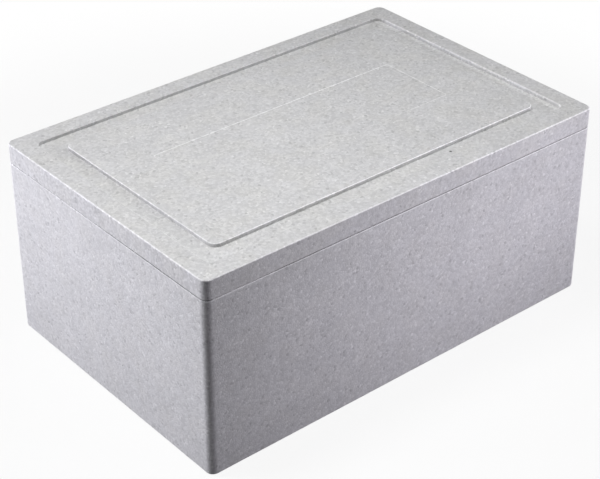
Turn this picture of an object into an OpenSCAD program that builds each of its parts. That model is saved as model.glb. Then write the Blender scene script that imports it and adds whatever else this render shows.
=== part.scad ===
// Insulated foam box: a moulded bead foam body and a lift-off lid with a plug.
// Millimetres, +Z up. The origin is under the middle of the box, on the surface it stands on.
// X runs along the long sides.

/* [Box] */
// Outside length of the body and the lid
box_l = 600; // [480:5:800]
// Outside width of the body and the lid
box_w = 390; // [340:5:600]
// Height of the body, up to the rim that the lid rests on
body_h = 237; // [150:1:400]
// Radius of the upright outer corners of the body and the lid
corner_r = 10; // [5:0.5:20]
// Rounding of the body's lower outer edge
base_edge_r = 2.5; // [1:0.5:4.5]
// Rounding of the two outer edges that meet at the seam under the lid
seam_edge_r = 0.8; // [0.4:0.1:2]

/* [Inside] */
// Thickness of the side walls at the mouth
wall_t = 32; // [25:1:45]
// Thickness of the floor
floor_t = 32; // [20:1:50]
// Radius of the upright inner corners at the mouth
cavity_corner_r = 24; // [20:1:40]
// How far the inner walls lean in between the mouth and the floor
cavity_lean = 3; // [1:0.5:6]
// Rounding where the inner walls meet the floor
cavity_foot_r = 10; // [4:1:12]
// Rounding of the mouth's upper inner edge
mouth_edge_r = 2; // [1:0.5:4]

/* [Lid] */
// Height of the lid's rim, seen from outside
lid_h = 26; // [20:1:40]
// Rounding of the lid's upper outer edge
top_edge_r = 2; // [0.8:0.2:3]
// Depth that the plug under the lid reaches into the mouth
plug_h = 16; // [8:1:30]
// Gap between the plug and the walls of the mouth
plug_gap = 1; // [0.5:0.1:2]
// Rounding of the plug's lower edge
plug_edge_r = 3; // [1:0.5:4]

/* [Lid groove] */
// Width of the flat border outside the groove
border_w = 26; // [16:0.5:36]
// Width of the groove at the lid's top face
groove_w = 24.5; // [14:0.5:36]
// Depth of the groove
groove_d = 5; // [3:0.5:9]
// How far each wall of the groove leans over its depth
groove_lean = 0.6; // [0.4:0.1:4]
// Corner radius of the groove's outer wall, at the lid's top face
groove_corner_r = 9; // [7:0.5:16]
// Corner radius of the panel inside the groove, at the lid's top face
panel_corner_r = 11; // [5:0.5:20]
// Rounding of the groove's upper edges
groove_edge_r = 1.5; // [0.5:0.1:2]
// Rounding along both sides of the groove's floor
groove_foot_r = 0.8; // [0.5:0.1:2]

/* [Raised frame] */
// Distance from each end of the panel to the raised frame line
frame_end_gap = 64.5; // [40:0.5:90]
// Distance from each long side of the panel to the raised frame line
frame_side_gap = 89.5; // [60:0.5:95]
// Width of the raised line at its foot
line_w = 1.4; // [0.8:0.1:3]
// Width of the raised line at its top
line_top_w = 0.5; // [0.3:0.1:0.7]
// Height of the raised line
line_h = 0.4; // [0.2:0.1:1]
// Corner radius of the raised frame
frame_corner_r = 2; // [2:0.5:6]

/* [Pit in the groove] */
// Radius of the ball that fits the small pit in the groove's floor
pit_r = 1.8; // [1:0.1:3]
// Depth of the pit
pit_d = 1.2; // [0.5:0.1:1.8]
// Place of the pit along the front groove, from the middle of the box
pit_along = 95; // [-150:1:150]
// Distance of the pit from the middle of the groove, towards the panel
pit_aside = 2.5; // [-5:0.5:5]

/* [Hidden] */
$fn = 64;
foam_grey = [0.83, 0.83, 0.84];

cavity_l = box_l - 2 * wall_t;
cavity_w = box_w - 2 * wall_t;
cavity_h = body_h - floor_t;
lid_top = body_h + lid_h;
plug_low = body_h - plug_h;
groove_floor = lid_top - groove_d;
pocket_l = box_l - 2 * border_w;
pocket_w = box_w - 2 * border_w;
panel_l = pocket_l - 2 * groove_w;
panel_w = pocket_w - 2 * groove_w;
frame_l = panel_l - 2 * frame_end_gap;
frame_w = panel_w - 2 * frame_side_gap;
pit_y = -(box_w / 2 - border_w - groove_w / 2 - pit_aside);
// How deep a piece that is joined on reaches into its carrier, and how far a cut runs past a face
bite = 2;

// How far out from its corner centre the cavity's wall stands at height z
function cavity_out(z) = cavity_corner_r - cavity_lean * (body_h - z) / cavity_h;

// Direction, in degrees above level, of a line that leans by lean over a rise
function slope(lean, rise) = atan2(rise, lean);

// The sliver between a corner at p and the round of radius r that touches both its sides.
// The sides leave the corner in the directions a and b, in degrees, with b the larger.
module corner_sliver(p, a, b, r) {
    half = (b - a) / 2;
    reach = r / tan(half);
    middle = p + r / sin(half) * [cos(a + half), sin(a + half)];
    difference() {
        polygon([p, p + reach * [cos(a), sin(a)], middle, p + reach * [cos(b), sin(b)]]);
        translate(middle) circle(r);
    }
}

// Carries a profile round a rectangle with rounded corners.
// In the profile, x is the distance out from a corner's centre and y is the height.
module carried_round(length, width, corner) {
    half_l = length / 2 - corner;
    half_w = width / 2 - corner;
    for (turn = [0 : 3]) {
        out = turn % 2 == 0 ? half_l : half_w;
        side = turn % 2 == 0 ? half_w : half_l;
        rotate([0, 0, 90 * turn])
            translate([out, side, 0]) {
                rotate_extrude(angle = 90) children();
                rotate([90, 0, 0]) linear_extrude(2 * side) children();
            }
    }
}

// A solid block with that plan, from height low to high, whose sides follow the profile
module profiled_block(length, width, corner, low, high) {
    core = [length - 2 * corner, width - 2 * corner, high - low];
    translate([-core.x / 2, -core.y / 2, low]) cube(core);
    carried_round(length, width, corner) children();
}

// Upright outer side from low to high, with its lower and upper edges rounded
module outer_side(low, high, low_r, high_r) {
    difference() {
        translate([0, low]) square([corner_r, high - low]);
        corner_sliver([corner_r, low], 90, 180, low_r);
        corner_sliver([corner_r, high], 180, 270, high_r);
    }
}

// The cavity's section: leaning wall, rounded foot and rounded mouth, open past the rim
module cavity_side() {
    wall = slope(cavity_lean, cavity_h);
    difference() {
        polygon([
            [0, floor_t],
            [cavity_out(floor_t), floor_t],
            [cavity_corner_r, body_h],
            [cavity_corner_r, body_h + bite],
            [0, body_h + bite]
        ]);
        corner_sliver([cavity_out(floor_t), floor_t], wall, 180, cavity_foot_r);
    }
    corner_sliver([cavity_corner_r, body_h], 180 + wall, 360, mouth_edge_r);
}

// The plug's section, the gap inside the cavity's wall
module plug_side() {
    wall = slope(cavity_lean, cavity_h);
    low = [cavity_out(plug_low) - plug_gap, plug_low];
    difference() {
        polygon([
            [0, plug_low],
            low,
            [cavity_corner_r - plug_gap, body_h],
            [cavity_corner_r - plug_gap, body_h + bite],
            [0, body_h + bite]
        ]);
        corner_sliver(low, wall, 180, plug_edge_r);
    }
}

// Section of the pocket that the groove's outer wall surrounds
module pocket_side() {
    wall = slope(groove_lean, groove_d);
    foot = [groove_corner_r - groove_lean, groove_floor];
    lip = [groove_corner_r, lid_top];
    difference() {
        polygon([[0, groove_floor], foot, lip, lip + [0, bite], [0, lid_top + bite]]);
        corner_sliver(foot, wall, 180, groove_foot_r);
    }
    corner_sliver(lip, 180 + wall, 360, groove_edge_r);
}

// Section of the panel that stands inside the pocket
module panel_side() {
    wall = slope(groove_lean, groove_d);
    foot = [panel_corner_r + groove_lean, groove_floor];
    edge = [panel_corner_r, lid_top];
    difference() {
        polygon([[0, groove_floor - bite], foot - [0, bite], foot, edge, [0, lid_top]]);
        corner_sliver(edge, 180, 360 - wall, groove_edge_r);
    }
    corner_sliver(foot, 0, 180 - wall, groove_foot_r);
}

// Cross-section of the raised line, over the frame's own outline
module line_side() {
    translate([frame_corner_r, lid_top])
        polygon([
            [-line_w / 2, -bite],
            [line_w / 2, -bite],
            [line_w / 2, 0],
            [line_top_w / 2, line_h],
            [-line_top_w / 2, line_h],
            [-line_w / 2, 0]
        ]);
}

// What the groove takes out of the lid
module groove_cut() {
    difference() {
        profiled_block(pocket_l, pocket_w, groove_corner_r, groove_floor, lid_top + bite)
            pocket_side();
        profiled_block(panel_l, panel_w, panel_corner_r, groove_floor - bite, lid_top)
            panel_side();
    }
}

module box_body() {
    color(foam_grey)
        difference() {
            profiled_block(box_l, box_w, corner_r, 0, body_h)
                outer_side(0, body_h, base_edge_r, seam_edge_r);
            profiled_block(cavity_l, cavity_w, cavity_corner_r, floor_t, body_h + bite)
                cavity_side();
        }
}

module lid() {
    color(foam_grey)
        union() {
            difference() {
                union() {
                    profiled_block(box_l, box_w, corner_r, body_h, lid_top)
                        outer_side(body_h, lid_top, seam_edge_r, top_edge_r);
                    profiled_block(cavity_l, cavity_w, cavity_corner_r, plug_low, body_h + bite)
                        plug_side();
                }
                groove_cut();
                translate([pit_along, pit_y, groove_floor + pit_r - pit_d])
                    sphere(pit_r);
            }
            carried_round(frame_l, frame_w, frame_corner_r)
                line_side();
        }
}

box_body();
lid();
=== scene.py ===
"""Looks of an insulated foam box: a moulded bead foam body with a flush, grooved lift-off lid.

Metres, +Z up, with the origin under the middle of the box. Each moulding is laid ring by ring
round the box's outline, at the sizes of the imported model, and dressed in procedural bead foam.
"""

import logging
import math
from dataclasses import dataclass, field
from enum import Enum

import bmesh
import bpy
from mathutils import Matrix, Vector


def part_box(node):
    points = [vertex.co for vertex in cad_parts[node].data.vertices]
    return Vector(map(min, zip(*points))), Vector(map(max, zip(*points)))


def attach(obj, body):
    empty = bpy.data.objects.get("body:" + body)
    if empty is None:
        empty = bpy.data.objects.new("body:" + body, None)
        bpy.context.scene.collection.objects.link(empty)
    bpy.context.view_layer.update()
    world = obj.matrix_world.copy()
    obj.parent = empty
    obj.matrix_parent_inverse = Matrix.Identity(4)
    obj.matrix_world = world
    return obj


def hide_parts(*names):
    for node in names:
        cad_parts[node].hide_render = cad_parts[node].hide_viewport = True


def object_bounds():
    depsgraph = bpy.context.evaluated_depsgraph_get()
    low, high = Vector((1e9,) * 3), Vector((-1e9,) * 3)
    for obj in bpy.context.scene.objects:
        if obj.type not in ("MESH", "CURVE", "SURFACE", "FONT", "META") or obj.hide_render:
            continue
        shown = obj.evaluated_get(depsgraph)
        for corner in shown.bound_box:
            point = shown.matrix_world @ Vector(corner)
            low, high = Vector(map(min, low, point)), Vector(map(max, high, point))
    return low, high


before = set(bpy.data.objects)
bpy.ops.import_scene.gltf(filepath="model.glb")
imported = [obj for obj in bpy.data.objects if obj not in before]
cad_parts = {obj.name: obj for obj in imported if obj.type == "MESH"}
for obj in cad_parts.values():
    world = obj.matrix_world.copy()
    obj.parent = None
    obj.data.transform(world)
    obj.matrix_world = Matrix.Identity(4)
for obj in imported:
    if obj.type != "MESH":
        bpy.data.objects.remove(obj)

CAD_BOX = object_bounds()

log = logging.getLogger("foam_box")


class Body(Enum):
    """The two bodies that the pieces ride on."""

    BOX = "box"
    LID = "lid"


class Slot(Enum):
    """Names for the two foams' material slots."""

    BODY_FOAM = "bead_foam_body"
    LID_FOAM = "bead_foam_lid"


# Outlines and sections


@dataclass(frozen=True)
class Outline:
    """A rectangle with rounded corners, centred on the origin, at one height."""

    half_l: float
    half_w: float
    radius: float
    z: float

    def moved(self, out: float, up: float) -> "Outline":
        """Returns this outline moved outwards all round, and up."""
        return Outline(self.half_l + out, self.half_w + out, self.radius + out, self.z + up)

    def towards(self, other: "Outline", share: float) -> "Outline":
        """Returns the outline that lies a share of the way to another."""
        return Outline(
            self.half_l + share * (other.half_l - self.half_l),
            self.half_w + share * (other.half_w - self.half_w),
            self.radius + share * (other.radius - self.radius),
            self.z + share * (other.z - self.z),
        )


@dataclass(frozen=True)
class Stations:
    """How a ring of points is shared out round an outline."""

    along_l: int = 150
    along_w: int = 96
    corner: int = 8

    @property
    def count(self) -> int:
        """Returns the number of points in a ring."""
        return 2 * (self.along_l + self.along_w) + 4 * self.corner

    @property
    def cap_span(self) -> int:
        """Returns the steps between the middles of two corners, along a long side."""
        return self.along_l + self.corner

    def place(self, outline: Outline, number: int) -> Vector:
        """Finds a station on an outline.

        Args:
            outline: The outline, walked anticlockwise from the middle of its +X +Y corner.
            number: The station's number.

        Returns:
            The station's place.
        """
        left = (number + self.corner // 2) % self.count
        for turn in range(4):
            side = self.along_w if turn % 2 else self.along_l
            if left < self.corner:
                return self._round_corner(outline, turn, left / self.corner)
            if left - self.corner < side:
                start = self._round_corner(outline, turn, 1)
                end = self._round_corner(outline, (turn + 1) % 4, 0)
                return start.lerp(end, (left - self.corner) / side)
            left -= self.corner + side
        raise ValueError(f"no station {number}")

    @staticmethod
    def _round_corner(outline: Outline, turn: int, share: float) -> Vector:
        """Finds the point a share of the way round one of the outline's corners."""
        half_l = outline.half_l - outline.radius
        half_w = outline.half_w - outline.radius
        x = half_l if turn in (0, 3) else -half_l
        y = half_w if turn in (0, 1) else -half_w
        angle = math.radians(90) * (turn + share)
        return Vector(
            (x + outline.radius * math.cos(angle), y + outline.radius * math.sin(angle), outline.z)
        )


@dataclass
class Section:
    """The outlines that a moulding's surface passes through, in order."""

    outlines: list[Outline] = field(default_factory=list)

    def reach(self, end: Outline, step: float) -> None:
        """Goes straight to an outline, with a ring about every step.

        Args:
            end: The outline to reach, left out itself, because a round starts there.
            step: Distance between rings.
        """
        start = self.outlines[-1]
        distance = math.hypot(end.half_w - start.half_w, end.z - start.z)
        rings = max(1, round(distance / step))
        for ring in range(1, rings):
            self.outlines.append(start.towards(end, ring / rings))

    def sharp(self, edge: Outline, step: float) -> None:
        """Goes straight to an edge that stays sharp."""
        self.reach(edge, step)
        self.outlines.append(edge)

    def rounded(
        self, edge: Outline, back: float, on: float, radius: float, faces: int, step: float = 1.0
    ) -> None:
        """Goes to an edge and round it, on an arc that touches both of its faces.

        Args:
            edge: The edge as it would be if it were sharp.
            back: Direction from the edge back along the first face, in degrees, where 0 is
                outwards and 90 is up.
            on: Direction from the edge along the second face.
            radius: The arc's radius.
            faces: Faces round the arc.
            step: Distance between the rings that lead to it.
        """
        half = math.radians((on - back + 180) % 360 - 180) / 2
        middle = math.radians(back) + half
        deep = radius / math.sin(abs(half))
        first = math.radians(back) - math.copysign(math.pi / 2, half)
        sweep = math.copysign(math.pi - 2 * abs(half), half)
        arc = []
        for face in range(faces + 1):
            turn = first - sweep * face / faces
            out = deep * math.cos(middle) + radius * math.cos(turn)
            up = deep * math.sin(middle) + radius * math.sin(turn)
            arc.append(edge.moved(out, up))
        if self.outlines:
            self.reach(arc[0], step)
        self.outlines.extend(arc)


# Mesh making


def clear_selection() -> None:
    """Leaves edit mode with nothing selected."""
    if bpy.context.object and bpy.context.object.mode != "OBJECT":
        bpy.ops.object.mode_set(mode="OBJECT")
    bpy.ops.object.select_all(action="DESELECT")


def place_ring(piece: bpy.types.Object, stations: Stations, outline: Outline) -> None:
    """Moves the selected ring of points onto an outline."""
    mesh = bmesh.from_edit_mesh(piece.data)
    number = mesh.verts.layers.int["station"]
    for vertex in mesh.verts:
        if vertex.select:
            vertex.co = stations.place(outline, vertex[number])
    bmesh.update_edit_mesh(piece.data)


def close_ring(piece: bpy.types.Object, stations: Stations) -> None:
    """Fills the selected ring with a grid whose corners lie in the outline's corners."""
    mesh = bmesh.from_edit_mesh(piece.data)
    number = mesh.verts.layers.int["station"]
    corner = next(v for v in mesh.verts if v.select and v[number] == 0)
    mesh.select_history.clear()
    mesh.select_history.add(corner)
    bmesh.update_edit_mesh(piece.data)
    bpy.ops.mesh.fill_grid(span=stations.cap_span, offset=0, use_interp_simple=True)


def lay_rings(name: str, section: Section, stations: Stations) -> bpy.types.Object:
    """Makes a closed moulding by extruding a ring of points along a section.

    Args:
        name: The piece's name.
        section: The outlines to pass through, each closed over at its open end.
        stations: How the points of a ring are shared out.

    Returns:
        The new object, which stays the active one.
    """
    clear_selection()
    bpy.ops.mesh.primitive_circle_add(vertices=stations.count, radius=1, fill_type="NOTHING")
    piece = bpy.context.object
    piece.name = piece.data.name = name
    bpy.ops.object.mode_set(mode="EDIT")
    bpy.ops.mesh.select_mode(type="VERT")
    mesh = bmesh.from_edit_mesh(piece.data)
    number = mesh.verts.layers.int.new("station")
    for index, vertex in enumerate(mesh.verts):
        vertex[number] = index
    bpy.ops.mesh.select_all(action="SELECT")
    place_ring(piece, stations, section.outlines[0])
    close_ring(piece, stations)
    bpy.ops.mesh.select_all(action="DESELECT")
    bpy.ops.mesh.select_non_manifold(
        extend=False, use_wire=False, use_multi_face=False, use_non_contiguous=False, use_verts=False
    )
    for outline in section.outlines[1:]:
        bpy.ops.mesh.extrude_edges_move()
        place_ring(piece, stations, outline)
    close_ring(piece, stations)
    bpy.ops.mesh.select_all(action="SELECT")
    bpy.ops.mesh.normals_make_consistent(inside=False)
    bpy.ops.object.mode_set(mode="OBJECT")
    bpy.ops.object.shade_smooth()
    return piece


def apply_modifier(piece: bpy.types.Object, modifier: bpy.types.Modifier) -> None:
    """Applies a modifier of a piece."""
    clear_selection()
    bpy.context.view_layer.objects.active = piece
    piece.select_set(True)
    bpy.ops.object.modifier_apply(modifier=modifier.name)


@dataclass(frozen=True)
class Unevenness:
    """A slight waviness that a face keeps from its mould, always inwards of the true face."""

    name: str
    grain: float
    depth: float

    def press(self, piece: bpy.types.Object) -> None:
        """Presses the waviness into a piece."""
        cloud = bpy.data.textures.new(self.name, type="CLOUDS")
        cloud.noise_scale = self.grain
        modifier = piece.modifiers.new(self.name, type="DISPLACE")
        modifier.texture = cloud
        modifier.texture_coords = "LOCAL"
        modifier.mid_level = 1.0
        modifier.strength = self.depth
        apply_modifier(piece, modifier)


UNEVENNESS = (Unevenness("waves", 0.045, 0.0003), Unevenness("ripples", 0.007, 0.00015))


def press_unevenness(piece: bpy.types.Object) -> None:
    """Presses every size of waviness into a piece."""
    for waviness in UNEVENNESS:
        waviness.press(piece)


@dataclass(frozen=True)
class ScoreLine:
    """A fine line in a face, where two parts of the mould met or something scratched it."""

    start: tuple[float, float, float]
    end: tuple[float, float, float]
    into: tuple[float, float, float]
    width: float = 0.0008
    depth: float = 0.0003

    def cutter(self) -> bpy.types.Object:
        """Makes the bar that cuts the line, a prism with one edge pointing into the face.

        Returns:
            The cutter.
        """
        start = Vector(self.start)
        run = Vector(self.end) - start
        into = Vector(self.into)
        across = run.normalized().cross(into)
        clear_selection()
        bpy.ops.mesh.primitive_cylinder_add(vertices=4, radius=1, depth=1)
        bar = bpy.context.object
        for vertex in bar.data.vertices:
            x, y, z = vertex.co
            vertex.co = start + (z + 0.5) * run + y * self.depth * into + x * self.width / 2 * across
        return bar


def carve(piece: bpy.types.Object, cutters: list[bpy.types.Object]) -> None:
    """Cuts tools out of a piece and deletes them.

    Args:
        piece: The piece to cut.
        cutters: Closed tools, none of which touch each other.
    """
    clear_selection()
    for cutter in cutters:
        cutter.select_set(True)
    bpy.context.view_layer.objects.active = cutters[0]
    bpy.ops.object.join()
    bpy.ops.object.mode_set(mode="EDIT")
    bpy.ops.mesh.select_all(action="SELECT")
    bpy.ops.mesh.normals_make_consistent(inside=False)
    bpy.ops.object.mode_set(mode="OBJECT")
    tool = bpy.context.object
    modifier = piece.modifiers.new("carving", type="BOOLEAN")
    modifier.operation = "DIFFERENCE"
    modifier.solver = "EXACT"
    modifier.object = tool
    apply_modifier(piece, modifier)
    bpy.data.objects.remove(tool, do_unlink=True)


def even_shading(piece: bpy.types.Object) -> None:
    """Shades the wide faces flat and the narrow rounds smooth."""
    modifier = piece.modifiers.new("even_shading", type="WEIGHTED_NORMAL")
    modifier.weight = 100
    apply_modifier(piece, modifier)


def report_piece(piece: bpy.types.Object) -> None:
    """Reports a finished piece."""
    triangles = sum(len(face.vertices) - 2 for face in piece.data.polygons)
    log.info("%s: %d triangles", piece.name, triangles)


# Foam


def add_node(tree: bpy.types.NodeTree, kind: str, **settings: object) -> bpy.types.Node:
    """Adds a node and gives it its settings.

    Args:
        tree: The tree to add it to.
        kind: Blender's name of the node type.
        **settings: Its properties.

    Returns:
        The node.
    """
    node = tree.nodes.new(kind)
    for name, value in settings.items():
        setattr(node, name, value)
    return node


def feed(tree: bpy.types.NodeTree, socket: bpy.types.NodeSocket, source: object) -> None:
    """Links a socket to another, or sets it to a number or colour."""
    if isinstance(source, bpy.types.NodeSocket):
        tree.links.new(source, socket)
    else:
        socket.default_value = source


def calculate(tree: bpy.types.NodeTree, operation: str, *terms: object) -> bpy.types.NodeSocket:
    """Adds a Math node.

    Args:
        tree: The tree to add it to.
        operation: The Math node's operation.
        *terms: Its inputs, as sockets or numbers.

    Returns:
        Its output.
    """
    node = add_node(tree, "ShaderNodeMath", operation=operation)
    for socket, term in zip(node.inputs, terms):
        feed(tree, socket, term)
    return node.outputs[0]


def remap(
    tree: bpy.types.NodeTree, value: object, low: float, high: float, new_low: object, new_high: object
) -> bpy.types.NodeSocket:
    """Adds a smooth Map Range node.

    Args:
        tree: The tree to add it to.
        value: The value to map.
        low: Value at which the result is new_low.
        high: Value at which the result is new_high.
        new_low: The result's first end.
        new_high: The result's second end.

    Returns:
        Its output.
    """
    node = add_node(tree, "ShaderNodeMapRange", interpolation_type="SMOOTHSTEP")
    for name, term in {
        "Value": value,
        "From Min": low,
        "From Max": high,
        "To Min": new_low,
        "To Max": new_high,
    }.items():
        feed(tree, node.inputs[name], term)
    return node.outputs["Result"]


class BeadGrain:
    """The grain of pressed foam beads, as one node group that both foams share."""

    name = "bead_grain"
    patch_scales = (75.0, 16.0)
    roughness = (0.78, 0.92)
    pillow_width = 0.3
    least_swell = 0.55
    gap_width = 0.1
    dark_below = 0.035
    light_above = 0.95
    dark_weight = 1.6
    tint_scale = 28.0
    tint_span = (0.4, 0.65)

    def build(self) -> bpy.types.NodeTree:
        """Builds the group.

        Returns:
            The node group, with the colour, roughness and relief of the beads as outputs.
        """
        tree = bpy.data.node_groups.new(self.name, "ShaderNodeTree")
        self._add_sockets(tree)
        given = add_node(tree, "NodeGroupInput").outputs
        result = add_node(tree, "NodeGroupOutput").inputs
        beads = self._voronoi(tree, given, "F1")
        shares = add_node(tree, "ShaderNodeSeparateColor")
        tree.links.new(beads.outputs["Color"], shares.inputs["Color"])
        gap = self._voronoi(tree, given, "DISTANCE_TO_EDGE").outputs["Distance"]
        tones = [
            self._spread(tree, shares.outputs["Red"], given["Bead contrast"]),
            self._flecks(tree, shares.outputs["Green"], given["Fleck contrast"]),
            self._gaps(tree, gap, given["Gap contrast"]),
        ]
        for scale in self.patch_scales:
            tones.append(self._clouds(tree, given["Place"], scale, given["Mottle"]))
        tone = tones[0]
        for other in tones[1:]:
            tone = calculate(tree, "MULTIPLY", tone, other)
        tint = self._tint(tree, given)
        shade = add_node(tree, "ShaderNodeVectorMath", operation="SCALE")
        tree.links.new(tint, shade.inputs["Vector"])
        tree.links.new(tone, shade.inputs["Scale"])
        tree.links.new(shade.outputs["Vector"], result["Colour"])
        tree.links.new(remap(tree, shares.outputs["Blue"], 0, 1, *self.roughness), result["Roughness"])
        pillow = remap(tree, gap, 0.0, self.pillow_width, 0.0, 1.0)
        swell = remap(tree, shares.outputs["Blue"], 0, 1, self.least_swell, 1.0)
        tree.links.new(calculate(tree, "MULTIPLY", pillow, swell), result["Relief"])
        return tree

    @staticmethod
    def _add_sockets(tree: bpy.types.NodeTree) -> None:
        """Gives the group its named inputs and outputs."""
        made = tree.interface.new_socket
        made(name="Place", in_out="INPUT", socket_type="NodeSocketVector")
        made(name="Tone", in_out="INPUT", socket_type="NodeSocketColor")
        made(name="Warm tone", in_out="INPUT", socket_type="NodeSocketColor")
        for name in ("Beads per metre", "Bead contrast", "Gap contrast", "Fleck contrast", "Mottle"):
            made(name=name, in_out="INPUT", socket_type="NodeSocketFloat")
        made(name="Colour", in_out="OUTPUT", socket_type="NodeSocketColor")
        made(name="Roughness", in_out="OUTPUT", socket_type="NodeSocketFloat")
        made(name="Relief", in_out="OUTPUT", socket_type="NodeSocketFloat")

    @staticmethod
    def _voronoi(tree: bpy.types.NodeTree, given: object, feature: str) -> bpy.types.Node:
        """Adds the cells that stand for the beads, with one feature read from them."""
        node = add_node(tree, "ShaderNodeTexVoronoi", voronoi_dimensions="3D", feature=feature)
        tree.links.new(given["Place"], node.inputs["Vector"])
        tree.links.new(given["Beads per metre"], node.inputs["Scale"])
        return node

    @staticmethod
    def _spread(tree: bpy.types.NodeTree, share: object, contrast: object) -> bpy.types.NodeSocket:
        """Turns a bead's own random share into a tone about one."""
        swing = calculate(tree, "MULTIPLY_ADD", share, 2.0, -1.0)
        return calculate(tree, "MULTIPLY_ADD", swing, contrast, 1.0)

    def _flecks(
        self, tree: bpy.types.NodeTree, share: object, contrast: object
    ) -> bpy.types.NodeSocket:
        """Makes a few beads plainly darker or lighter than the rest.

        Args:
            tree: The tree to add to.
            share: The bead's own random share.
            contrast: How far such a bead's tone lies from one.

        Returns:
            The tone.
        """
        dark = calculate(tree, "LESS_THAN", share, self.dark_below)
        light = calculate(tree, "GREATER_THAN", share, self.light_above)
        weighted = calculate(tree, "MULTIPLY", dark, self.dark_weight)
        swing = calculate(tree, "SUBTRACT", light, weighted)
        return calculate(tree, "MULTIPLY_ADD", swing, contrast, 1.0)

    def _gaps(self, tree: bpy.types.NodeTree, gap: object, contrast: object) -> bpy.types.NodeSocket:
        """Darkens the joints between the beads."""
        joint = remap(tree, gap, 0.0, self.gap_width, 1.0, 0.0)
        return calculate(tree, "SUBTRACT", 1.0, calculate(tree, "MULTIPLY", joint, contrast))

    @staticmethod
    def _clouds(
        tree: bpy.types.NodeTree, place: object, scale: float, contrast: object
    ) -> bpy.types.NodeSocket:
        """Lightens and darkens whole patches of beads."""
        noise = add_node(tree, "ShaderNodeTexNoise")
        noise.inputs["Scale"].default_value = scale
        tree.links.new(place, noise.inputs["Vector"])
        swing = calculate(tree, "MULTIPLY_ADD", noise.outputs["Fac"], 4.0, -2.0)
        return calculate(tree, "MULTIPLY_ADD", swing, contrast, 1.0)

    def _tint(self, tree: bpy.types.NodeTree, given: object) -> bpy.types.NodeSocket:
        """Mixes the warmer tone into the foam in soft patches.

        Args:
            tree: The tree to add to.
            given: The group's inputs.

        Returns:
            The colour.
        """
        noise = add_node(tree, "ShaderNodeTexNoise")
        noise.inputs["Scale"].default_value = self.tint_scale
        tree.links.new(given["Place"], noise.inputs["Vector"])
        mix = add_node(tree, "ShaderNodeMix", data_type="RGBA")
        tree.links.new(remap(tree, noise.outputs["Fac"], *self.tint_span, 0.0, 1.0), mix.inputs[0])
        tree.links.new(given["Tone"], mix.inputs[6])
        tree.links.new(given["Warm tone"], mix.inputs[7])
        return mix.outputs[2]


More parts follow.
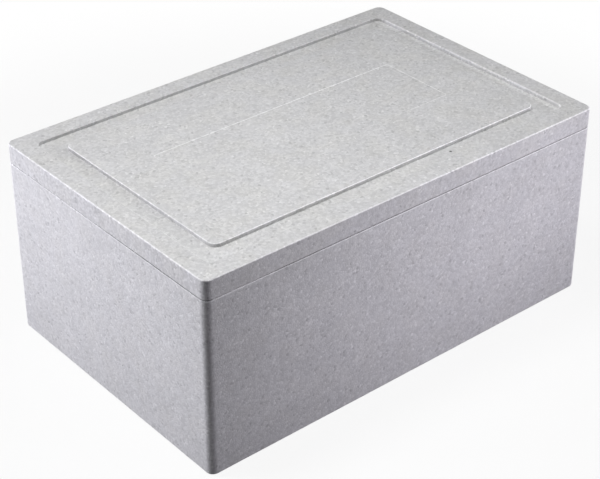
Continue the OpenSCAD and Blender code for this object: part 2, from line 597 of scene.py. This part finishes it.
class PaintedLightAndShade:
    """Painted highlights and painted shade on a moulding's edges, walls and joints, as one node group
    that both foams share.

    It paints highlights on rounded edges that face up and outwards, on the upper part of the groove's
    +X end wall and on the raised line, and paints light over the groove's floor where the lamps leave
    it shaded, most beside the +X end. It paints shade in the pit, on the groove's other steep walls
    and in the joint at the -X end and along the -Y side. The rim is also darker at the -X end.
    """

    name = "painted_light_and_shade"
    groove_half_l = 0.278
    groove_half_w = 0.173
    far_lip_y = 0.155
    front_y = -0.19
    end_x = -0.29
    flat = 0.9
    # Extra painted highlight on the groove's edges.
    groove_highlight = 0.7
    steep = (0.1, 0.5, 1.0, 0.0)
    rising = (0.1, 0.45, 0.0, 1.0)
    levelling = (0.9, 0.99, 1.0, 0.0)
    lip_along_x = (0.266, 0.273, 0.0, 1.0)
    # Eases the painted shade on the groove's wall at the +X end.
    lip_shade_easing = -0.6
    # Painted light on the groove's floor grows up to eightfold towards the +X end.
    beside_lip_along_x = (0.2635, 0.2715, 1.0, 8.0)
    shade_along_y = (-0.145, 0.169, 1.0, 4.5)
    # Where the painted shade in the joint between lid and body lies.
    end_joint_along_y = (-0.06, 0.04, 1.0, 0.0)
    front_joint_along_x = (-0.23, -0.17, 0.0, 0.8)
    # How the raised line's painted highlight grows towards the +X +Y corner.
    line_highlight_slope = 3.0
    line_highlight_span = (-0.12, 0.06, 0.12, 1.0)
    numbers = (
        "Edge from", "Edge to", "Edge reach", "Edge gain", "Wall from", "Wall to", "Wall gain",
        "Floor from", "Floor to", "Floor gain", "Line from", "Line gain", "Joint from", "Joint to",
        "Joint gain", "End from", "End to", "End gain", "Pit from", "Pit to", "Pit gain",
    )

    def build(self) -> bpy.types.NodeTree:
        """Builds the group.

        Returns:
            The node group, with the tone as its output.
        """
        tree = bpy.data.node_groups.new(self.name, "ShaderNodeTree")
        made = tree.interface.new_socket
        made(name="Place", in_out="INPUT", socket_type="NodeSocketVector")
        made(name="Facing", in_out="INPUT", socket_type="NodeSocketVector")
        for name in self.numbers:
            made(name=name, in_out="INPUT", socket_type="NodeSocketFloat")
        made(name="Tone", in_out="OUTPUT", socket_type="NodeSocketFloat")
        given = add_node(tree, "NodeGroupInput").outputs
        result = add_node(tree, "NodeGroupOutput").inputs
        place = add_node(tree, "ShaderNodeSeparateXYZ")
        facing = add_node(tree, "ShaderNodeSeparateXYZ")
        tree.links.new(given["Place"], place.inputs[0])
        tree.links.new(given["Facing"], facing.inputs[0])
        x, y, z = (place.outputs[axis] for axis in "XYZ")
        up = facing.outputs["Z"]
        inner = self._inner(tree, place.outputs)
        steep = remap(tree, up, *self.steep)
        lip = remap(tree, x, *self.lip_along_x)
        # How much painted shade the groove's walls get: more towards +Y, less on the wall at the +X
        # end.
        shaded = calculate(
            tree, "MULTIPLY", remap(tree, y, *self.shade_along_y),
            calculate(tree, "MULTIPLY_ADD", lip, self.lip_shade_easing, 1.0),
        )
        # Painted light on the groove's floor, over the shadow that the wall at the +X end casts.
        beside = remap(tree, x, *self.beside_lip_along_x)
        end = calculate(tree, "LESS_THAN", x, self.end_x)
        near = remap(tree, y, *self.end_joint_along_y)
        front = calculate(
            tree, "MULTIPLY", calculate(tree, "LESS_THAN", y, self.front_y),
            remap(tree, x, *self.front_joint_along_x),
        )
        # Painted shade in the joint between lid and body: at the -X end towards the front, and along
        # the -Y side.
        joint_shade = calculate(tree, "MAXIMUM", calculate(tree, "MULTIPLY", end, near), front)
        line = calculate(tree, "GREATER_THAN", z, given["Line from"])
        tones = [
            # Painted highlight on rounded edges that face up and outwards.
            self._gain(
                tree, given["Edge gain"], self._between(tree, z, given, "Edge"),
                self._rounded(tree, given, up), self._highlight_share(tree, inner, y, facing.outputs["Y"]),
            ),
            # Painted shade on the groove's steep walls.
            self._gain(
                tree, given["Wall gain"], self._between(tree, z, given, "Wall"), steep, inner, shaded
            ),
            # Painted highlight on the upper part of the groove's wall at the +X end.
            self._gain(
                tree, given["Edge gain"], self._between(tree, z, given, "Edge"), steep, inner, lip
            ),
            # Painted light over the groove's floor, where the lamps leave it shaded.
            self._gain(
                tree, given["Floor gain"], self._between(tree, z, given, "Floor"), inner,
                calculate(tree, "GREATER_THAN", up, self.flat), beside,
            ),
            # Painted shade in the pit, nearly black.
            self._gain(tree, given["Pit gain"], self._between(tree, z, given, "Pit"), inner),
            # Painted highlight on the raised line.
            self._gain(tree, given["Line gain"], line, self._line_highlight(tree, place.outputs)),
            # Painted shade in the joint between lid and body.
            self._gain(tree, given["Joint gain"], self._between(tree, z, given, "Joint"), joint_shade),
            self._gain(tree, given["End gain"], self._between(tree, z, given, "End"), end, steep),
        ]
        tone = tones[0]
        for other in tones[1:]:
            tone = calculate(tree, "MULTIPLY", tone, other)
        tree.links.new(tone, result["Tone"])
        return tree

    @staticmethod
    def _between(tree: bpy.types.NodeTree, z: object, given: object, name: str) -> bpy.types.NodeSocket:
        """Tells where a height lies between a pair of the group's inputs."""
        above = calculate(tree, "GREATER_THAN", z, given[f"{name} from"])
        return calculate(tree, "MULTIPLY", above, calculate(tree, "LESS_THAN", z, given[f"{name} to"]))

    def _inner(self, tree: bpy.types.NodeTree, place: object) -> bpy.types.NodeSocket:
        """Tells the groove from the moulding's outer sides.

        Args:
            tree: The tree to add to.
            place: The parts of the place on the object.

        Returns:
            One in the groove and inside it, and nothing elsewhere.
        """
        across_x, across_y = (calculate(tree, "ABSOLUTE", place[axis]) for axis in "XY")
        along = calculate(tree, "LESS_THAN", across_x, self.groove_half_l)
        across = calculate(tree, "LESS_THAN", across_y, self.groove_half_w)
        return calculate(tree, "MULTIPLY", along, across)

    def _rounded(self, tree: bpy.types.NodeTree, given: object, up: object) -> bpy.types.NodeSocket:
        """Tells rounded edges from flat faces, and reaches down the sides if it is told to.

        Args:
            tree: The tree to add to.
            given: The group's inputs.
            up: How far the surface faces up.

        Returns:
            One on a rounded edge, and nothing on a flat face.
        """
        reached = calculate(tree, "ADD", up, given["Edge reach"])
        rising = remap(tree, reached, *self.rising)
        return calculate(tree, "MULTIPLY", rising, remap(tree, up, *self.levelling))

    def _highlight_share(
        self, tree: bpy.types.NodeTree, inner: object, y: object, aside: object
    ) -> bpy.types.NodeSocket:
        """Tells how strong the painted highlight on an edge is: more in the groove and where it faces
        -Y.

        Args:
            tree: The tree to add to.
            inner: Whether the edge lies in the groove.
            y: The edge's place across the box.
            aside: How far the edge faces +Y.

        Returns:
            The share, which is nothing on the groove's outer edge along the +Y side.
        """
        groove = calculate(tree, "MULTIPLY_ADD", inner, self.groove_highlight, 1.0)
        turned = calculate(tree, "MULTIPLY_ADD", aside, -1.0, 1.0)
        far = calculate(tree, "MULTIPLY", inner, calculate(tree, "GREATER_THAN", y, self.far_lip_y))
        kept = calculate(tree, "SUBTRACT", 1.0, far)
        return calculate(tree, "MULTIPLY", calculate(tree, "MULTIPLY", groove, turned), kept)

    def _line_highlight(self, tree: bpy.types.NodeTree, place: object) -> bpy.types.NodeSocket:
        """Tells how strong the painted highlight on the raised line is: most towards the +X +Y corner.
        """
        along = calculate(tree, "MULTIPLY_ADD", place["Y"], self.line_highlight_slope, place["X"])
        return remap(tree, along, *self.line_highlight_span)

    @staticmethod
    def _gain(tree: bpy.types.NodeTree, gain: object, *masks: object) -> bpy.types.NodeSocket:
        """Returns one plus the gain where every mask is on."""
        share = masks[0]
        for mask in masks[1:]:
            share = calculate(tree, "MULTIPLY", share, mask)
        return calculate(tree, "MULTIPLY_ADD", share, gain, 1.0)


@dataclass(frozen=True)
class PaintedBands:
    """Bands of painted highlight and painted shade on a moulding, and its darker -X end, each as the
    heights it lies between and its gain.
    """

    edge: tuple[float, float] = (0.0, 0.0)
    edge_reach: float = 0.0
    edge_gain: float = 0.0
    wall: tuple[float, float, float] = (0.0, 0.0, 0.0)
    floor: tuple[float, float, float] = (0.0, 0.0, 0.0)
    line: tuple[float, float] = (1.0, 0.0)
    joint: tuple[float, float, float] = (0.0, 0.0, 0.0)
    end: tuple[float, float, float] = (0.0, 0.0, 0.0)
    pit: tuple[float, float, float] = (0.0, 0.0, 0.0)

    def numbers(self) -> tuple[float, ...]:
        """Returns the numbers in the order of the group's inputs."""
        edge = (*self.edge, self.edge_reach, self.edge_gain)
        return edge + self.wall + self.floor + self.line + self.joint + self.end + self.pit


@dataclass(frozen=True)
class BeadFoam:
    """One moulding's foam: its colours, its grain and how rough it is."""

    name: str
    tone: tuple[float, float, float, float]
    warm_tone: tuple[float, float, float, float]
    shift: tuple[float, float, float]
    painted_bands: PaintedBands
    beads_per_metre: float = 340.0
    bead_contrast: float = 0.097
    gap_contrast: float = 0.08
    fleck_contrast: float = 0.1
    mottle: float = 0.03
    relief: float = 0.00014
    specular: float = 0.15

    def material(self, grain: bpy.types.NodeTree, edges: bpy.types.NodeTree) -> bpy.types.Material:
        """Builds the foam's material.

        Args:
            grain: The shared bead grain.
            edges: The shared group that paints highlights and shade onto edges, walls and joints.

        Returns:
            The material.
        """
        material = bpy.data.materials.new(self.name)
        material.use_nodes = True
        tree = material.node_tree
        place = add_node(tree, "ShaderNodeTexCoord")
        mapping = add_node(tree, "ShaderNodeMapping")
        mapping.inputs["Location"].default_value = self.shift
        tree.links.new(place.outputs["Object"], mapping.inputs["Vector"])
        beads = add_node(tree, "ShaderNodeGroup", node_tree=grain)
        for name, value in {
            "Place": mapping.outputs["Vector"],
            "Tone": self.tone,
            "Warm tone": self.warm_tone,
            "Beads per metre": self.beads_per_metre,
            "Bead contrast": self.bead_contrast,
            "Gap contrast": self.gap_contrast,
            "Fleck contrast": self.fleck_contrast,
            "Mottle": self.mottle,
        }.items():
            feed(tree, beads.inputs[name], value)
        bump = add_node(tree, "ShaderNodeBump")
        bump.inputs["Distance"].default_value = self.relief
        tree.links.new(beads.outputs["Relief"], bump.inputs["Height"])
        light_and_shade = add_node(tree, "ShaderNodeGroup", node_tree=edges)
        feed(tree, light_and_shade.inputs["Place"], place.outputs["Object"])
        feed(tree, light_and_shade.inputs["Facing"], place.outputs["Normal"])
        for name, value in zip(PaintedLightAndShade.numbers, self.painted_bands.numbers()):
            feed(tree, light_and_shade.inputs[name], value)
        # The grain's colour times the painted highlights and painted shade.
        shade = add_node(tree, "ShaderNodeVectorMath", operation="SCALE")
        tree.links.new(beads.outputs["Colour"], shade.inputs["Vector"])
        tree.links.new(light_and_shade.outputs["Tone"], shade.inputs["Scale"])
        foam = tree.nodes["Principled BSDF"]
        foam.inputs["Specular IOR Level"].default_value = self.specular
        tree.links.new(shade.outputs["Vector"], foam.inputs["Base Color"])
        tree.links.new(beads.outputs["Roughness"], foam.inputs["Roughness"])
        tree.links.new(bump.outputs["Normal"], foam.inputs["Normal"])
        return material


# The two mouldings


@dataclass(frozen=True)
class BoxSizes:
    """The sizes that the two mouldings share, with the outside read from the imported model."""

    corner_r: float = 0.010
    seam_edge_r: float = 0.0008
    wall: float = 0.032
    floor: float = 0.032
    cavity_corner_r: float = 0.024
    cavity_lean: float = 0.003
    ring_step: float = 0.010
    arc_faces: int = 4

    @property
    def half_l(self) -> float:
        """Returns half the outside length."""
        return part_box("box_body")[1][0]

    @property
    def half_w(self) -> float:
        """Returns half the outside width."""
        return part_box("box_body")[1][1]

    @property
    def rim_z(self) -> float:
        """Returns the height of the body's rim, where the lid rests."""
        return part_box("box_body")[1][2]

    @property
    def wall_slope(self) -> float:
        """Returns the direction up the inner wall, in degrees."""
        return math.degrees(math.atan2(self.rim_z - self.floor, self.cavity_lean))

    def outside(self, z: float) -> Outline:
        """Returns the outside at a height."""
        return Outline(self.half_l, self.half_w, self.corner_r, z)

    def inside(self, z: float) -> Outline:
        """Returns the inner walls at a height, as they lean in towards the floor."""
        lean = self.cavity_lean * (self.rim_z - z) / (self.rim_z - self.floor)
        mouth = Outline(self.half_l - self.wall, self.half_w - self.wall, self.cavity_corner_r, z)
        return mouth.moved(-lean, 0)


@dataclass(frozen=True)
class Tub:
    """The box's body: an open tub with thick walls."""

    sizes: BoxSizes
    base_edge_r: float = 0.0025
    mouth_edge_r: float = 0.002
    foot_r: float = 0.010

    def section(self) -> Section:
        """Draws the section from under the floor, up the outside and down the inside.

        Returns:
            The section.
        """
        s = self.sizes
        path = Section()
        path.rounded(s.outside(0), 180, 90, self.base_edge_r, s.arc_faces)
        path.rounded(s.outside(s.rim_z), 270, 180, s.seam_edge_r, 3, s.ring_step)
        path.rounded(
            s.inside(s.rim_z), 0, 180 + s.wall_slope, self.mouth_edge_r, s.arc_faces, s.ring_step
        )
        path.rounded(s.inside(s.floor), s.wall_slope, 180, self.foot_r, 6, s.ring_step)
        return path

    def scores(self) -> list[ScoreLine]:
        """Lists the fine lines in the outer faces, each lying in its face.

        Returns:
            The lines.
        """
        front = -self.sizes.half_w
        end = -self.sizes.half_l
        return [
            ScoreLine((-0.177, front, 0.004), (-0.177, front, 0.038), (0, 1, 0)),
            ScoreLine((end, -0.181, 0.0645), (end, -0.191, 0.0645), (1, 0, 0)),
        ]

    def build(self, foam: bpy.types.Material) -> bpy.types.Object:
        """Makes the tub.

        Args:
            foam: Its material.

        Returns:
            The finished piece.
        """
        piece = lay_rings("foam_body", self.section(), Stations())
        press_unevenness(piece)
        carve(piece, [line.cutter() for line in self.scores()])
        even_shading(piece)
        piece.data.materials.append(foam)
        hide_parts("box_body")
        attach(piece, Body.BOX.value)
        report_piece(piece)
        return piece


@dataclass(frozen=True)
class Lid:
    """The lid: a flush slab with a groove and a raised frame on top, and a plug below."""

    sizes: BoxSizes
    top_edge_r: float = 0.002
    plug_gap: float = 0.001
    plug_edge_r: float = 0.003
    border: float = 0.026
    groove: float = 0.0245
    groove_depth: float = 0.005
    groove_lean: float = 0.0006
    groove_corner_r: float = 0.009
    panel_corner_r: float = 0.011
    groove_edge_r: float = 0.0015
    groove_foot_r: float = 0.0008
    frame_end_gap: float = 0.0645
    frame_side_gap: float = 0.0895
    frame_corner_r: float = 0.002
    line_foot: float = 0.0014
    line_top: float = 0.0005
    line_height: float = 0.0004
    pit_r: float = 0.0018
    pit_depth: float = 0.0012
    pit_along: float = 0.095
    pit_aside: float = 0.0025

    @property
    def plug_z(self) -> float:
        """Returns the height of the plug's underside."""
        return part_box("lid")[0][2]

    @property
    def top_z(self) -> float:
        """Returns the height of the lid's top face."""
        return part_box("lid")[1][2] - self.line_height

    @property
    def groove_slope(self) -> float:
        """Returns the direction up the groove's outer wall, in degrees."""
        return math.degrees(math.atan2(self.groove_depth, self.groove_lean))

    def pocket(self) -> Outline:
        """Returns the upper edge of the groove's outer wall."""
        outer = self.sizes.outside(self.top_z)
        return Outline(
            outer.half_l - self.border, outer.half_w - self.border, self.groove_corner_r, self.top_z
        )

    def panel(self) -> Outline:
        """Returns the edge of the panel inside the groove."""
        pocket = self.pocket()
        return Outline(
            pocket.half_l - self.groove, pocket.half_w - self.groove, self.panel_corner_r, self.top_z
        )

    def raised_frame(self) -> Outline:
        """Returns the middle of the raised line on the panel."""
        panel = self.panel()
        return Outline(
            panel.half_l - self.frame_end_gap,
            panel.half_w - self.frame_side_gap,
            self.frame_corner_r,
            self.top_z,
        )

    def section(self) -> Section:
        """Draws the section from under the plug, round the rim and across the top.

        Returns:
            The section.
        """
        s = self.sizes
        step = s.ring_step
        path = Section()
        path.rounded(
            s.inside(self.plug_z).moved(-self.plug_gap, 0), 180, s.wall_slope, self.plug_edge_r,
            s.arc_faces,
        )
        path.sharp(s.inside(s.rim_z).moved(-self.plug_gap, 0), step)
        path.rounded(s.outside(s.rim_z), 180, 90, s.seam_edge_r, 3, step)
        path.rounded(s.outside(self.top_z), 270, 180, self.top_edge_r, s.arc_faces, step)
        self._cross_groove(path)
        self._cross_raised_line(path)
        return path

    def _cross_groove(self, path: Section) -> None:
        """Takes the section from the border down into the groove and up onto the panel."""
        step = self.sizes.ring_step
        up = self.groove_slope
        lean, depth = self.groove_lean, self.groove_depth
        faces = self.sizes.arc_faces
        pocket, panel = self.pocket(), self.panel()
        path.rounded(pocket, 0, 180 + up, self.groove_edge_r, faces, step)
        path.rounded(pocket.moved(-lean, -depth), up, 180, self.groove_foot_r, 3, step)
        path.rounded(panel.moved(lean, -depth), 0, 180 - up, self.groove_foot_r, 3, step)
        path.rounded(panel, 360 - up, 180, self.groove_edge_r, faces, step)

    def _cross_raised_line(self, path: Section) -> None:
        """Takes the section over the raised line on the panel."""
        frame_line = self.raised_frame()
        path.sharp(frame_line.moved(self.line_foot / 2, 0), self.sizes.ring_step)
        path.sharp(frame_line.moved(self.line_top / 2, self.line_height), self.line_foot)
        path.sharp(frame_line.moved(-self.line_top / 2, self.line_height), self.line_foot)
        path.sharp(frame_line.moved(-self.line_foot / 2, 0), self.line_foot)

    def pit(self) -> bpy.types.Object:
        """Makes the ball that leaves the small pit in the front groove's floor.

        Returns:
            The ball.
        """
        aside = self.border + self.groove / 2 + self.pit_aside
        height = self.top_z - self.groove_depth + self.pit_r - self.pit_depth
        clear_selection()
        bpy.ops.mesh.primitive_uv_sphere_add(
            segments=24,
            ring_count=12,
            radius=self.pit_r,
            location=(self.pit_along, aside - self.sizes.half_w, height),
        )
        bpy.ops.object.transform_apply()
        return bpy.context.object

    def scores(self) -> list[ScoreLine]:
        """Lists the fine mould lines across the border and the rim.

        Returns:
            The lines.
        """
        outer = self.sizes.half_w
        lip = outer - self.border
        down = (0, 0, -1)
        return [
            ScoreLine((-0.2735, lip, self.top_z), (-0.2735, outer, self.top_z), down),
            ScoreLine((0.249, -outer, self.top_z), (0.249, -lip, self.top_z), down),
            ScoreLine((0.184, -outer, self.sizes.rim_z), (0.184, -outer, self.top_z), (0, 1, 0)),
        ]

    def build(self, foam: bpy.types.Material) -> bpy.types.Object:
        """Makes the lid.

        Args:
            foam: Its material.

        Returns:
            The finished piece.
        """
        piece = lay_rings("foam_lid", self.section(), Stations())
        press_unevenness(piece)
        carve(piece, [self.pit()] + [line.cutter() for line in self.scores()])
        even_shading(piece)
        piece.data.materials.append(foam)
        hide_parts("lid")
        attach(piece, Body.LID.value)
        report_piece(piece)
        return piece


# Studio


@dataclass(frozen=True)
class SoftBox:
    """A rectangular soft light, placed round the middle of the box.

    Angles are in degrees. The azimuth turns from +X towards +Y, and turned and tilted say how far
    the light faces away from the box.
    """

    name: str
    azimuth: float
    elevation: float
    distance: float
    width: float
    height: float
    turned: float
    tilted: float
    spread: float
    power: float
    colour: tuple[float, float, float]

    @staticmethod
    def _towards(azimuth: float, elevation: float) -> Vector:
        """Returns the direction with an azimuth and elevation."""
        turn, rise = math.radians(azimuth), math.radians(elevation)
        return Vector(
            (math.cos(turn) * math.cos(rise), math.sin(turn) * math.cos(rise), math.sin(rise))
        )

    def build(self) -> None:
        """Hangs the light."""
        middle = (CAD_BOX[0] + CAD_BOX[1]) / 2
        back = self._towards(self.azimuth + self.turned, self.elevation + self.tilted)
        clear_selection()
        bpy.ops.object.light_add(
            type="AREA",
            location=middle + self.distance * self._towards(self.azimuth, self.elevation),
            rotation=back.to_track_quat("Z", "Y").to_euler(),
        )
        lamp = bpy.context.object
        lamp.name = self.name
        lamp.visible_camera = False
        lamp.data.shape = "RECTANGLE"
        lamp.data.size = self.width
        lamp.data.size_y = self.height
        lamp.data.spread = math.radians(self.spread)
        lamp.data.energy = self.power
        lamp.data.color = self.colour


@dataclass(frozen=True)
class Viewpoint:
    """The camera: what it aims at, where it stands and its lens."""

    aim: tuple[float, float, float] = (-0.03866, -0.0374, 0.132)
    azimuth: float = 40.002
    elevation: float = 32.522
    distance: float = 2.0344
    lens: float = 99.883

    def build(self) -> None:
        """Sets up the camera, whose azimuth turns from the front towards the -X end."""
        turn, rise = math.radians(self.azimuth), math.radians(self.elevation)
        back = Vector(
            (-math.sin(turn) * math.cos(rise), -math.cos(turn) * math.cos(rise), math.sin(rise))
        )
        clear_selection()
        bpy.ops.object.camera_add(
            location=Vector(self.aim) + self.distance * back,
            rotation=back.to_track_quat("Z", "Y").to_euler(),
        )
        camera = bpy.context.object
        camera.name = "camera"
        camera.data.lens = self.lens
        bpy.context.scene.camera = camera


@dataclass(frozen=True)
class Studio:
    """The floor, the white surroundings and the soft lights."""

    floor_size: float = 12.0
    floor_albedo: float = 0.04
    fade_start: float = 0.55
    fade_end: float = 1.0
    shadow_strength: float = 0.1
    sky: float = 0.06
    lights: tuple[SoftBox, ...] = (
        SoftBox(
            "back_light",
            azimuth=136.5, elevation=7, distance=1.5,
            width=1.51, height=0.62, turned=4.2, tilted=-5.2,
            spread=70.7, power=5.6, colour=(1.0, 0.99, 1.07),
        ),
        SoftBox(
            "front_light",
            azimuth=302.1, elevation=6, distance=1.36,
            width=0.84, height=0.27, turned=-2.4, tilted=-0.6,
            spread=49.4, power=1.03, colour=(1.02, 0.98, 1.1),
        ),
        SoftBox(
            "top_light",
            azimuth=159.2, elevation=70.5, distance=1.84,
            width=0.35, height=0.5, turned=-39.6, tilted=-6,
            spread=90, power=5.38, colour=(1.0, 1.0, 1.0),
        ),
        SoftBox(
            "end_light",
            azimuth=336.7, elevation=55.2, distance=1.14,
            width=0.89, height=1.36, turned=-6.3, tilted=-34.5,
            spread=82, power=3.09, colour=(1.0, 1.0, 1.0),
        ),
    )

    def build(self) -> None:
        """Builds the surroundings."""
        self._world()
        self._floor()
        for light in self.lights:
            light.build()

    @staticmethod
    def _seen_directly(tree: bpy.types.NodeTree) -> bpy.types.NodeSocket:
        """Tells the camera's own, mirrored and see-through rays from light on its way."""
        path = add_node(tree, "ShaderNodeLightPath").outputs
        seen = calculate(tree, "MAXIMUM", path["Is Camera Ray"], path["Is Glossy Ray"])
        return calculate(tree, "MAXIMUM", seen, path["Is Transmission Ray"])

    def _world(self) -> None:
        """Makes the surroundings white to look at and dim as a light."""
        world = bpy.data.worlds.new("surroundings")
        world.use_nodes = True
        tree = world.node_tree
        strength = remap(tree, self._seen_directly(tree), 0.0, 1.0, self.sky, 1.0)
        shade = tree.nodes["Background"]
        shade.inputs["Color"].default_value = (1, 1, 1, 1)
        tree.links.new(strength, shade.inputs["Strength"])
        bpy.context.scene.world = world

    def _floor(self) -> None:
        """Lays a floor that keeps the box's shadow and fades into the white surroundings."""
        clear_selection()
        bpy.ops.mesh.primitive_plane_add(size=self.floor_size)
        floor = bpy.context.object
        floor.name = "floor"
        floor.data.materials.append(self._floor_material())

    def _floor_material(self) -> bpy.types.Material:
        """Builds the floor's material, with nothing to see from below.

        Returns:
            The material.
        """
        material = bpy.data.materials.new("floor")
        material.use_nodes = True
        tree = material.node_tree
        tree.nodes.remove(tree.nodes["Principled BSDF"])
        plain = add_node(tree, "ShaderNodeBsdfDiffuse")
        plain.inputs["Color"].default_value = (*[self.floor_albedo] * 3, 1)
        pale = add_node(tree, "ShaderNodeBsdfDiffuse")
        pale.inputs["Color"].default_value = (0.85, 0.85, 0.85, 1)
        clear = add_node(tree, "ShaderNodeBsdfTransparent")
        place = add_node(tree, "ShaderNodeTexCoord")
        away = add_node(tree, "ShaderNodeVectorMath", operation="LENGTH")
        tree.links.new(place.outputs["Object"], away.inputs[0])
        share = remap(
            tree, away.outputs["Value"], self.fade_start, self.fade_end, self.shadow_strength, 0.0
        )
        faded = add_node(tree, "ShaderNodeMixShader")
        tree.links.new(share, faded.inputs[0])
        tree.links.new(clear.outputs[0], faded.inputs[1])
        tree.links.new(pale.outputs[0], faded.inputs[2])
        seen = add_node(tree, "ShaderNodeMixShader")
        tree.links.new(self._seen_directly(tree), seen.inputs[0])
        tree.links.new(plain.outputs[0], seen.inputs[1])
        tree.links.new(faded.outputs[0], seen.inputs[2])
        sided = add_node(tree, "ShaderNodeMixShader")
        tree.links.new(add_node(tree, "ShaderNodeNewGeometry").outputs["Backfacing"], sided.inputs[0])
        tree.links.new(seen.outputs[0], sided.inputs[1])
        tree.links.new(clear.outputs[0], sided.inputs[2])
        tree.links.new(sided.outputs[0], tree.nodes["Material Output"].inputs["Surface"])
        return material


def main() -> None:
    """Builds the studio and both mouldings, in order."""
    logging.basicConfig(level=logging.INFO, format="%(name)s: %(message)s")
    bpy.context.scene.view_settings.view_transform = "Standard"
    Viewpoint().build()
    Studio().build()
    grain = BeadGrain().build()
    edges = PaintedLightAndShade().build()
    body_foam = BeadFoam(
        "body_foam",
        tone=(0.66, 0.66, 0.665, 1),
        warm_tone=(0.662, 0.66, 0.66, 1),
        shift=(0.013, 0.021, 0.034),
        painted_bands=PaintedBands(
            # Painted highlight on the body's upper outer edge, under the seam.
            edge=(0.2352, 0.2372),
            edge_reach=0.6,
            edge_gain=0.2,
            # Painted shade in the seam under the lid.
            joint=(0.2364, 0.2371, -0.35),
        ),
    )
    lid_foam = BeadFoam(
        "lid_foam",
        tone=(0.66, 0.66, 0.666, 1),
        warm_tone=(0.662, 0.66, 0.656, 1),
        shift=(0.317, 0.142, 0.055),
        painted_bands=PaintedBands(
            # Painted highlight on the lid's rounded edges and the groove's edges.
            edge=(0.2605, 0.263),
            edge_gain=0.18,
            # Painted shade on the groove's steep walls.
            wall=(0.2578, 0.2618, -0.06),
            # Painted light over the groove's floor, where the lamps leave it shaded.
            floor=(0.2574, 0.2586, 0.06),
            # Painted highlight on the raised line.
            line=(0.26292, 0.35),
            # Painted shade in the seam above the body.
            joint=(0.2366, 0.238, -0.5),
            end=(0.2379, 0.2608, -0.05),
            # Painted shade in the pit, nearly black.
            pit=(0.2565, 0.2575, -0.88),
        ),
    )
    sizes = BoxSizes()
    Tub(sizes).build(body_foam.material(grain, edges))
    Lid(sizes).build(lid_foam.material(grain, edges))


if __name__ == "__main__":
    main()
